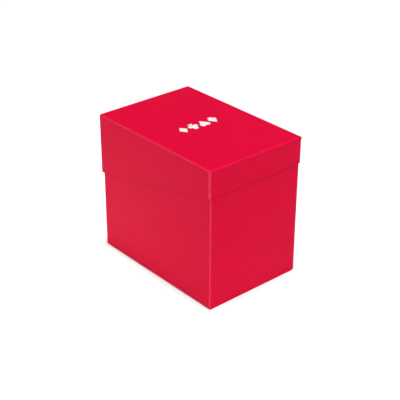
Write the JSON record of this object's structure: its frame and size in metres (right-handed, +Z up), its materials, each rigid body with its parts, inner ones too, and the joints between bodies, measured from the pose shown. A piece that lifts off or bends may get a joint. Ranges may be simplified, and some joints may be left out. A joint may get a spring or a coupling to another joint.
{
  "type": "card deck box",
  "caption": "Free-standing folded plastic sheet box for sleeved trading cards, with a living-hinged telescoping lid, a deep front flap, tapered lid sides, a thumb notch and a loose divider.",
  "frame": {"origin": "bottom centre of the closed box's overall outline, on the surface it stands on", "axes": "+Z up, -Y towards the front with the deep lid flap and thumb notch, +Y towards the hinged back, +X to the right seen from the front"},
  "size_m": [0.0732, 0.1062, 0.0944],
  "materials": {
    "red_sheet": "semi-matte polypropylene sheet with a fine grain",
    "divider_sheet": "semi-matte polypropylene sheet with a fine grain",
    "white_ink": "thin opaque screen-printed ink",
    "adhesive": "clear dried adhesive film"
  },
  "bodies": {
    "base": {"base_box": "red_sheet", "seam_adhesive": "adhesive", "bottom_adhesive": "adhesive", "hinge_band": "red_sheet", "hinge_band_adhesive": "adhesive", "living_hinge": "red_sheet"},
    "lid": {"lid": "red_sheet", "lid_corner_adhesive": "adhesive", "lid_mark": "white_ink"},
    "divider": {"card_divider": "divider_sheet"}
  },
  "joints": [
    {"name": "lid_hinge", "type": "hinge", "parent": "base", "child": "lid", "pos_m": [0, 0.0528, 0.094], "axis": [-1, 0, 0], "range_deg": [0, 180]},
    {"name": "divider_slide", "type": "slide", "parent": "base", "child": "divider", "axis": [0, 1, 0], "range_m": [-0.079, 0.0224]}
  ]
}
